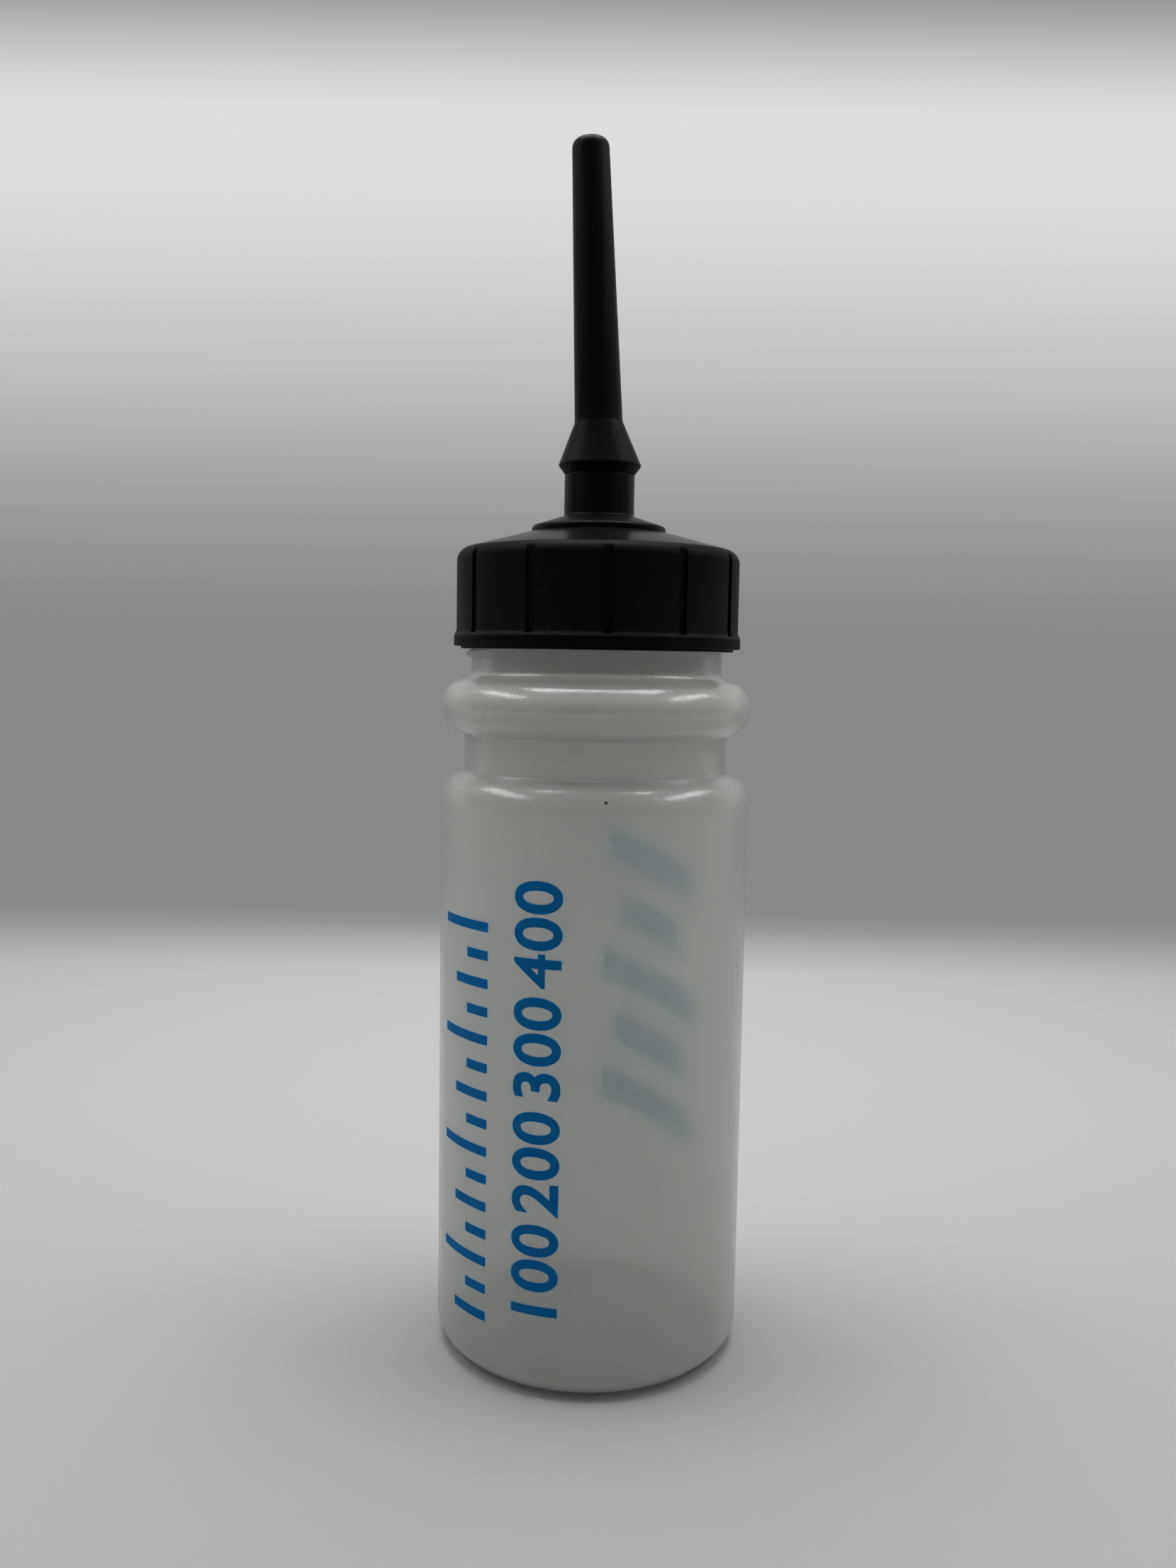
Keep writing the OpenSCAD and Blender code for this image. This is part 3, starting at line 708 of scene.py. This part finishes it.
def digits_mesh(bm, word, height, film):
    """Adds the flat solid of a number to a bmesh, foot on X and middle at X 0, and returns its vertices."""
    # Shares of the font's size: height of its digits, growth that makes them bold, and doubles to merge.
    digit_share, bold_share, merge_share = 0.73, 0.022, 0.01
    text = bpy.data.curves.new("number", "FONT")
    text.body = word
    text.size = height / digit_share
    text.align_x = "CENTER"
    text.space_character = 1.06
    text.resolution_u = 10
    holder = bpy.data.objects.new("number", text)
    bpy.context.scene.collection.objects.link(holder)
    graph = bpy.context.evaluated_depsgraph_get()
    mesh = bpy.data.meshes.new_from_object(holder.evaluated_get(graph))
    flat = bmesh.new()
    flat.from_mesh(mesh)
    bmesh.ops.remove_doubles(flat, verts=flat.verts, dist=merge_share * text.size)
    rim = bmesh.ops.inset_region(
        flat, faces=flat.faces, thickness=-bold_share * text.size, use_boundary=True, use_even_offset=True
    )["faces"]
    bmesh.ops.delete(flat, geom=rim, context="FACES")
    made = bmesh.ops.extrude_face_region(flat, geom=flat.faces)["geom"]
    bmesh.ops.translate(flat, vec=(0, 0, -film), verts=flat.verts)
    bmesh.ops.translate(flat, vec=(0, 0, 2 * film), verts=verts_of(made))
    flat.to_mesh(mesh)
    flat.free()
    known = set(bm.verts)
    bm.from_mesh(mesh)
    bpy.data.meshes.remove(mesh)
    bpy.data.objects.remove(holder)
    bpy.data.curves.remove(text)
    return [v for v in bm.verts if v not in known]


def add_block(bm, low, high):
    """Adds a box between two corners and returns its vertices."""
    verts = bmesh.ops.create_cube(bm, size=1.0)["verts"]
    size = [b - a for a, b in zip(low, high)]
    middle = [(a + b) / 2 for a, b in zip(low, high)]
    bmesh.ops.scale(bm, vec=size, verts=verts)
    bmesh.ops.translate(bm, vec=middle, verts=verts)
    return verts


def wrap_print(bm, radius):
    """Bends a flat print, laid out as X round the wall and Y up it, onto a cylinder, in narrow strips."""
    strip = 1.2 * MM
    across = [v.co.x for v in bm.verts]
    for i in range(math.floor(min(across) / strip), math.ceil(max(across) / strip) + 1):
        geom = list(bm.verts) + list(bm.edges) + list(bm.faces)
        bmesh.ops.bisect_plane(bm, geom=geom, dist=MERGE, plane_co=(i * strip, 0, 0), plane_no=(1, 0, 0))
    for vert in bm.verts:
        around, up, out = vert.co
        angle = around / radius
        vert.co = ((radius + out) * math.sin(angle), -(radius + out) * math.cos(angle), up)


class BOTTLE_OT_print(bpy.types.Operator):
    """Model the printed fill scale on the front and the printed bars on the back"""

    bl_idname = "bottle.print"
    bl_label = "Printed Scale"

    def execute(self, context):
        s = context.scene.bottle_print
        body_r = context.scene.bottle_sizes.body_r
        wall = context.scene.bottle_sizes.wall
        ink = screen_ink(context.scene.bottle_colours.ink)
        self.place(self.fill_scale(s), "fill_scale_print", body_r, ink)
        bars = self.place(self.back_bars(s.film, body_r), "back_bars_print", body_r, ink)
        self.shade_wall(bpy.data.objects["blown_bottle"].data, bars, body_r - wall, wall)
        return {"FINISHED"}

    @staticmethod
    def shade_wall(mesh, bars, inner_r, wall):
        """Marks the inside of the bottle's wall where the broad bars lie behind it, with a soft edge, for
        their painted shadow.
        """
        soft, within = 0.15 * MM, 0.1 * MM
        reach = wall + soft
        shade = mesh.attributes.new(INK_SHADE, "FLOAT", "POINT")
        for vert in mesh.vertices:
            if abs(radius_of(vert) - inner_r) < within:
                gap = bars.find_nearest(vert.co, reach)[3]
                if gap is not None:
                    shade.data[vert.index].value = min(1.0, (reach - gap) / soft)

    @staticmethod
    def fill_scale(s):
        """Flat fill scale: numbers that read upwards, with long, middle and short marks beside them."""
        bm = bmesh.new()
        for i in range(s.numbers):
            verts = digits_mesh(bm, str(100 * (i + 1)), s.digit_h, s.film)
            turn_verts(bm, verts, math.pi / 2)
            bmesh.ops.translate(bm, verts=verts, vec=(-s.digit_foot, s.first_z + s.step_z * i, 0))
        # The marks at and after a number. The scale starts half a step below the first number.
        marks = (s.mark_long, s.mark_short, s.mark_mid, s.mark_short)
        for i in range(-len(marks) // 2, len(marks) * (s.numbers - 1) + 1):
            z = s.first_z + s.step_z * i / len(marks)
            far = -s.mark_foot - marks[i % len(marks)]
            add_block(bm, (far, z - s.mark_t / 2, -s.film), (-s.mark_foot, z + s.mark_t / 2, s.film))
        return bm

    @staticmethod
    def back_bars(film, body_r):
        """Flat design for the back: slanted bars that step in length, beside the middle of the back."""
        bm = bmesh.new()
        first_z, step_z, bar_t, aside, slant = 46 * MM, 16 * MM, 8 * MM, 17 * MM, 0.35
        middle = math.pi * body_r - aside
        for i, bar in enumerate(BAR_LENGTHS):
            z = first_z + step_z * i
            half = bar * MM / 2
            add_block(bm, (middle - half, z - bar_t / 2, -film), (middle + half, z + bar_t / 2, film))
        for vert in bm.verts:
            vert.co.y += slant * (vert.co.x - middle)
        return bm

    @staticmethod
    def place(bm, name, body_r, ink):
        """Bends a flat print round the body, rides it there and returns a tree of its faces."""
        wrap_print(bm, body_r)
        close_seams(bm)
        faces = BVHTree.FromBMesh(bm)
        piece = make_piece(name, bm, ink)
        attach(piece, "bottle")
        return faces


def cap_outline(s):
    """Closed wall of the cap as one outline: lip, flange, skirt, shoulder, cone, hole, seat, inner wall."""
    slope = math.tan(s.cone_slope)
    disc_r = BASE_HIGH.x
    round_r = s.skirt_r - s.corner
    round_z = s.plate_z - (round_r - disc_r) * slope - s.corner / math.cos(s.cone_slope)
    slot_end = math.degrees(math.acos(1 - s.slot_depth / s.corner))
    # The cone flattens into the plate across the edge of the spout's disc.
    flat_out, flat_in = 0.6 * MM, 0.5 * MM
    # The roof reaches a little further in than the gasket, and the bead holds the gasket from below.
    seat_in = 0.3 * MM
    seat_r = -GASKET_LOW.x - s.gasket_w - seat_in
    bead_z = GASKET_LOW.z - s.bead - SEAT_GAP * MM
    under = s.plate_z - s.cone_wall
    return [
        (s.in_r, s.lip_z),
        (s.in_r + s.lip_t, s.lip_z),
        (s.in_r + s.lip_t, s.flange_z),
        (s.flange_r, s.flange_z),
        (s.flange_r, s.flange_top),
        (s.skirt_r + s.flange_out * s.slot_dip / s.flange_slope, s.skirt_z - s.slot_dip),
        (s.skirt_r, s.skirt_z),
        *arc((round_r, round_z), s.corner, 0, slot_end, 5),
        *arc((round_r, round_z), s.corner, slot_end, 90 - math.degrees(s.cone_slope), 5)[1:],
        (disc_r + flat_out, s.plate_z - flat_out * slope),
        (disc_r - flat_in, s.plate_z),
        (s.hole_r, s.plate_z),
        (s.hole_r, under),
        (disc_r, under),
        (seat_r, under - (seat_r - disc_r) * slope),
        (seat_r, s.roof_z),
        (s.in_r, s.roof_z),
        *arc((s.in_r, bead_z), s.bead, 90, 270, 8),
    ]


class BOTTLE_OT_cap(bpy.types.Operator):
    """Model the screw cap with its grip slots and inner thread"""

    bl_idname = "bottle.cap"
    bl_label = "Screw Cap"

    def execute(self, context):
        s = context.scene.bottle_cap
        thread = context.scene.bottle_thread
        slot_angle = 2 * math.asin(s.slot_w / 2 / s.skirt_r)
        land_angle = FULL_TURN / s.slots - slot_angle
        slot_steps, land_steps = 4, 18
        bm = bmesh.new()
        geom = lay_outline(bm, cap_outline(s), closed=True)
        turn_verts(bm, list(bm.verts), s.slot_turn - slot_angle / 2)
        for _ in range(s.slots):
            for angle, steps in ((slot_angle, slot_steps), (land_angle, land_steps)):
                geom = bmesh.ops.spin(
                    bm, geom=geom, axis=(0, 0, 1), cent=(0, 0, 0), angle=angle, steps=steps
                )["geom_last"]
        close_seams(bm)
        round_rings(bm, [(s.flange_r, s.flange_z), (s.flange_r, s.flange_top)], width=0.35 * MM)
        round_rings(bm, [(s.in_r, s.lip_z), (s.in_r + s.lip_t, s.lip_z)], width=0.2 * MM, segments=2)
        self.sink_slots(bm, s, slot_angle)
        wall = cut_rows(bm, s.in_r, s.lip_z, s.roof_z - 2 * s.bead, rows=60)
        # The cap's ridge follows the neck's, a little below it.
        start_z = s.flange_z + thread.foot_w
        neck_z = context.scene.bottle_sizes.ring_top + thread.rise
        start = thread.start + FULL_TURN * (start_z + thread.drop - neck_z) / thread.lead
        raise_thread(wall, thread, -1, start, start_z, thread.cap_turns)
        piece = make_piece("slotted_screw_cap", bm, black_cap_plastic(context.scene.bottle_colours.cap, s))
        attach(piece, "cap")
        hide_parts("screw_cap")
        return {"FINISHED"}

    @staticmethod
    def sink_slots(bm, s, slot_angle):
        """Presses the grip slots into the skirt, from the shoulder down into the flange's slope."""
        floor_r = s.skirt_r - s.slot_depth
        pitch = FULL_TURN / s.slots

        def in_slot(face):
            middle = face.calc_center_median()
            off = (math.atan2(middle.y, middle.x) - s.slot_turn + pitch / 2) % pitch - pitch / 2
            outside = math.hypot(middle.x, middle.y) > floor_r
            return abs(off) < slot_angle / 2 and outside and middle.z > s.skirt_z - s.slot_dip

        faces = [f for f in bm.faces if in_slot(f)]
        made = bmesh.ops.extrude_face_region(bm, geom=faces)["geom"]
        bmesh.ops.delete(bm, geom=[f for f in faces if f.is_valid], context="FACES")
        for vert in verts_of(made):
            shrink = floor_r / radius_of(vert)
            vert.co.x *= shrink
            vert.co.y *= shrink
        close_seams(bm)


class BOTTLE_OT_spout_base(bpy.types.Operator):
    """Model the spout's base: snapped-in disc, tube, and the stopper on its spokes"""

    bl_idname = "bottle.spout_base"
    bl_label = "Spout Base"

    def execute(self, context):
        s = context.scene.bottle_spout
        cap = context.scene.bottle_cap
        slide_gap, snap_out = 0.1 * MM, 0.6 * MM
        plate_z = cap.plate_z
        under = plate_z - cap.cone_wall - s.gap
        plug_r = cap.hole_r - s.gap
        bore_top = s.tube_top - s.tube_lip
        lip_r = s.stem_r + slide_gap
        outline = [
            (s.tube_bore_r, s.snap_z),
            (plug_r, s.snap_z),
            (plug_r + snap_out, under),
            (plug_r, under),
            (plug_r, plate_z),
            (s.disc_r, plate_z),
            *arc((s.disc_r - s.disc_round, plate_z + s.disc_edge), s.disc_round, 0, 70, 6),
            (s.tube_r, plate_z + s.disc_h),
            (s.tube_r, s.tube_top),
            (lip_r, s.tube_top),
            (lip_r, bore_top),
            (s.tube_bore_r, bore_top),
        ]
        bm = bmesh.new()
        spin_outline(bm, outline, closed=True, steps=BASE_STEPS)
        round_rings(bm, [(s.tube_r, plate_z + s.disc_h)], width=0.5 * MM, segments=4)
        round_rings(bm, [(s.tube_r, s.tube_top), (lip_r, s.tube_top)], width=0.35 * MM)
        self.add_stopper(bm, s)
        colour = context.scene.bottle_colours.spout
        finish = black_spout_plastic("black_spout_polypropylene", colour, rough=0.36, grain_depth=0.2)
        piece = make_piece("snap_in_spout_base", bm, finish)
        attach(piece, "cap")
        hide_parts("spout_base")
        return {"FINISHED"}

    @staticmethod
    def add_stopper(bm, s):
        """Adds the stopper's shaft and head, and the three spokes that hold it in the tube."""
        shaft_r, edge_round = 2 * MM, 0.4 * MM
        head_r = s.stem_bore_r - s.gap
        head_z = s.stem_z + 1 * MM
        top = s.stem_z + 5.25 * MM
        stopper = [
            (0.0, s.snap_z),
            (shaft_r, s.snap_z),
            (shaft_r, head_z),
            (head_r, head_z),
            *arc((head_r - edge_round, top - edge_round), edge_round, 0, 90, 4),
            (0.0, top),
        ]
        spin_outline(bm, stopper, closed=False, steps=STOPPER_STEPS)
        # A spoke runs from inside the shaft into the tube's wall, its underside a hair above the shaft's.
        spokes, spoke_w, spoke_t, sink, hair = 3, 1.6 * MM, 2 * MM, 0.4 * MM, 0.02 * MM
        low = (0.6 * shaft_r, -spoke_w / 2, s.snap_z + hair)
        high = (s.tube_bore_r + sink, spoke_w / 2, s.snap_z + spoke_t)
        for i in range(spokes):
            turn_verts(bm, add_block(bm, low, high), math.pi / 2 + FULL_TURN * i / spokes)


class BOTTLE_OT_straw(bpy.types.Operator):
    """Model the sliding stem, the collar and the leaning straw in one piece"""

    bl_idname = "bottle.straw"
    bl_label = "Straw Spout"

    def execute(self, context):
        s = context.scene.bottle_spout
        collar_z = s.tube_top + s.gap
        lip_z = collar_z + s.collar_under
        straw_z = lip_z + s.collar_h
        tip_z = straw_z + s.straw_len
        lip_round = s.collar_under / 4
        # The stem has a groove for the O-ring between two lands, and above it a ring that stops the slide.
        land_h, stop_out, stop_h = 1 * MM, 0.3 * MM, 1.2 * MM
        groove_z = s.stem_z + land_h
        groove_top = groove_z + s.seal_t + 2 * s.gap
        groove_r = s.tube_bore_r - 2 * s.gap - s.seal_t
        stop_z = groove_top + land_h
        stop_r = s.stem_r + stop_out
        # The straw leaves the collar in a small round, and its outlet has a chamfer.
        foot_out, foot_h, foot_end = 0.1 * MM, 0.6 * MM, 3 * MM
        chamfer_out, chamfer_h = 0.25 * MM, 0.3 * MM
        outline = [
            (s.stem_bore_r, s.stem_z),
            (s.stem_r, s.stem_z),
            (s.stem_r, groove_z),
            (groove_r, groove_z),
            (groove_r, groove_top),
            (s.stem_r, groove_top),
            (s.stem_r, stop_z),
            (stop_r, stop_z),
            (stop_r, stop_z + stop_h),
            (s.stem_r, stop_z + stop_h),
            (s.stem_r, collar_z),
            (s.tube_r, collar_z),
            *arc((s.collar_r - lip_round, lip_z), lip_round, -40, 23, 6),
            (s.straw_r + foot_out, straw_z),
            (s.straw_r, straw_z + foot_h),
            (s.straw_r - foot_out / 2, straw_z + foot_end),
            *arc((s.tip_r - s.tip_round, tip_z - s.tip_round), s.tip_round, 0, 80, 10),
            (s.outlet_r + chamfer_out, tip_z),
            (s.outlet_r, tip_z - chamfer_h),
            (s.outlet_r, tip_z - s.outlet_len),
            (s.straw_bore_r, tip_z - s.outlet_len),
            (s.straw_bore_r, straw_z),
            (s.stem_bore_r, straw_z - s.collar_h / 2),
        ]
        bm = bmesh.new()
        spin_outline(bm, outline, closed=True, steps=SLIM_STEPS)
        self.lean_straw(bm, lip_z, s.lean)
        colour = context.scene.bottle_colours.spout
        finish = black_spout_plastic("black_straw_polyethylene", colour, rough=0.42, grain_depth=0.25)
        piece = make_piece("leaning_straw_spout", bm, finish)
        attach(piece, "straw")
        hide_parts("straw_spout")
        return {"FINISHED"}

    @staticmethod
    def lean_straw(bm, lip_z, lean):
        """Leans everything above the collar's lip, with a short bend through the foot of its cone."""
        bend_h = 4 * MM
        lip = Vector((0, 0, lip_z))
        for vert in bm.verts:
            share = min(1.0, max(0.0, (vert.co.z - lip_z) / bend_h))
            if share > 0:
                vert.co = Matrix.Rotation(-lean * share, 3, "Y") @ (vert.co - lip) + lip


class BOTTLE_OT_seals(bpy.types.Operator):
    """Model the flat gasket in the cap and the O-ring on the stem"""

    bl_idname = "bottle.seals"
    bl_label = "Gasket and O-Ring"

    def execute(self, context):
        colours = context.scene.bottle_colours
        out_r = GASKET_HIGH.x
        in_r = out_r - context.scene.bottle_cap.gasket_w
        outline = [
            (in_r, GASKET_LOW.z),
            (out_r, GASKET_LOW.z),
            (out_r, GASKET_HIGH.z),
            (in_r, GASKET_HIGH.z),
        ]
        bm = bmesh.new()
        spin_outline(bm, outline, closed=True, steps=WIDE_STEPS)
        round_rings(bm, outline, width=0.25 * MM)
        gasket = make_piece("flat_gasket", bm, soft_rubber("pale_soft_rubber", colours.gasket))
        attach(gasket, "gasket")
        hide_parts("cap_gasket")
        half = context.scene.bottle_spout.seal_t / 2
        middle = (SEAL_HIGH.x - half, (SEAL_LOW.z + SEAL_HIGH.z) / 2)
        bm = bmesh.new()
        spin_outline(bm, arc(middle, half, 0, 360, 24)[:-1], closed=True, steps=SLIM_STEPS)
        seal = make_piece("stem_o_ring", bm, soft_rubber("dark_nitrile_rubber", colours.seal))
        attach(seal, "seal")
        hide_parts("spout_seal")
        return {"FINISHED"}


class BOTTLE_OT_stage(bpy.types.Operator):
    """Set up the paper sweep, the three soft lamps, the room light and the camera"""

    bl_idname = "bottle.stage"
    bl_label = "Stage"

    def execute(self, context):
        s = context.scene.bottle_stage
        colours = context.scene.bottle_colours
        self.paper_sweep(colours)
        self.soft_lamp(
            "overhead_lamp", place=(0.0, 0.08, 0.72), aim=(0.0, 0.08, 0.0), width=0.56, depth=0.36,
            power=s.key_power,
        )
        for side in (-1, 1):
            self.soft_lamp(
                "side_lamp", place=(0.45 * side, -0.02, 0.55), aim=(0.0, 0.0, 0.1), width=0.42, depth=0.1,
                power=s.side_power,
            )
        self.room_light(context.scene, s.world_level, colours.room)
        self.camera(context.scene, s)
        context.scene.view_settings.view_transform = "Standard"
        return {"FINISHED"}

    @staticmethod
    def paper_sweep(colours):
        """Floor that curves up into a wall behind the bottle, a hair below the bottle's foot."""
        half, front, back, top, bend, hair = 1.6, -1.6, 0.75, 1.6, 0.45, 0.05 * MM
        bm = bmesh.new()
        line = [bm.verts.new(p) for p in ((-half, front, 0), (-half, back, 0), (-half, back, top))]
        edges = [bm.edges.new(pair) for pair in zip(line, line[1:])]
        made = bmesh.ops.extrude_edge_only(bm, edges=edges)["geom"]
        bmesh.ops.translate(bm, vec=(2 * half, 0, 0), verts=verts_of(made))

        def at_fold(vert):
            return abs(vert.co.y - back) < MERGE and abs(vert.co.z) < MERGE

        fold = [e for e in bm.edges if all(at_fold(v) for v in e.verts)]
        bmesh.ops.bevel(
            bm, geom=fold, offset=bend, offset_type="OFFSET", segments=24, profile=0.5,
            affect="EDGES", material=-1,
        )
        bmesh.ops.translate(bm, vec=(0, 0, -hair), verts=list(bm.verts))
        sweep = make_piece("paper_sweep", bm, backdrop_paper(colours))

    @staticmethod
    def soft_lamp(name, place, aim, width, depth, power):
        """Rectangular soft lamp at a place, turned to a point."""
        lamp = bpy.data.lights.new(name, "AREA")
        lamp.shape = "RECTANGLE"
        lamp.size = width
        lamp.size_y = depth
        lamp.energy = power
        holder = bpy.data.objects.new(name, lamp)
        holder.location = place
        holder.rotation_euler = (Vector(aim) - Vector(place)).to_track_quat("-Z", "Y").to_euler()
        bpy.context.scene.collection.objects.link(holder)

    @staticmethod
    def room_light(scene, level, tone):
        """Even light from a white room, weaker from low down behind the camera."""
        world = bpy.data.worlds.new("white_room")
        world.use_nodes = True
        world.node_tree.nodes.clear()
        add = partial(add_node, world.node_tree)
        way = add("ShaderNodeTexCoord").outputs["Generated"]
        apart = add("ShaderNodeSeparateXYZ", {"Vector": way}).outputs
        back_or_up = add("ShaderNodeMath", {0: apart["Y"], 1: apart["Z"]}, operation="ADD")
        shade = add("ShaderNodeMapRange", {
            "Value": back_or_up, "From Min": -0.8, "From Max": 0.4, "To Min": 0.05,
        })
        glow = add("ShaderNodeBackground", {"Color": shade, "Strength": level})
        seen = add("ShaderNodeBackground", {"Color": opaque(tone)})
        eye = add("ShaderNodeLightPath").outputs["Is Camera Ray"]
        mixed = add("ShaderNodeMixShader", {0: eye, 1: glow, 2: seen})
        add("ShaderNodeOutputWorld", {"Surface": mixed})
        scene.world = world

    @staticmethod
    def camera(scene, s):
        """Camera in front of the bottle, a little above the cap's flange, looking slightly down."""
        data = bpy.data.cameras.new("front_camera")
        data.lens = s.lens
        data.sensor_width = 36.0
        data.clip_start = 0.01
        camera = bpy.data.objects.new("front_camera", data)
        aim = Matrix.Rotation(math.pi / 2 - s.camera_tilt, 4, "X") @ Matrix.Rotation(s.camera_roll, 4, "Z")
        camera.matrix_world = Matrix.Translation((s.camera_side, -s.camera_back, s.camera_z)) @ aim
        scene.collection.objects.link(camera)
        scene.camera = camera


class BOTTLE_PT_panel(bpy.types.Panel):
    """Steps, sizes and colours of the squeeze bottle"""

    bl_idname = "BOTTLE_PT_panel"
    bl_label = "Squeeze Bottle"
    bl_space_type = "VIEW_3D"
    bl_region_type = "UI"
    bl_category = "Squeeze Bottle"

    def draw(self, context):
        for operator in STEPS:
            self.layout.operator(operator.bl_idname)
        for name, kind in GROUPS.items():
            box = self.layout.box()
            box.label(text=kind.__doc__)
            for key in kind.__annotations__:
                box.prop(getattr(context.scene, name), key)


GROUPS = {
    "bottle_sizes": BottleSizes,
    "bottle_thread": ThreadSizes,
    "bottle_cap": CapSizes,
    "bottle_spout": SpoutSizes,
    "bottle_print": PrintSizes,
    "bottle_colours": FinishColours,
    "bottle_stage": StageSizes,
}
STEPS = (
    BOTTLE_OT_body,
    BOTTLE_OT_print,
    BOTTLE_OT_cap,
    BOTTLE_OT_spout_base,
    BOTTLE_OT_straw,
    BOTTLE_OT_seals,
    BOTTLE_OT_stage,
)


def register():
    """Registers the classes and hangs the property groups on the scene."""
    for kind in (*GROUPS.values(), *STEPS, BOTTLE_PT_panel):
        bpy.utils.register_class(kind)
    for name, kind in GROUPS.items():
        setattr(bpy.types.Scene, name, bpy.props.PointerProperty(type=kind))


def unregister():
    """Takes the property groups off the scene and unregisters the classes."""
    for name in GROUPS:
        delattr(bpy.types.Scene, name)
    for kind in (BOTTLE_PT_panel, *reversed(STEPS), *reversed(GROUPS.values())):
        bpy.utils.unregister_class(kind)


def main():
    """Builds the pieces and the stage."""
    register()
    bpy.ops.bottle.body()
    bpy.ops.bottle.print()
    bpy.ops.bottle.cap()
    bpy.ops.bottle.spout_base()
    bpy.ops.bottle.straw()
    bpy.ops.bottle.seals()
    bpy.ops.bottle.stage()


if __name__ == "__main__":
    main()
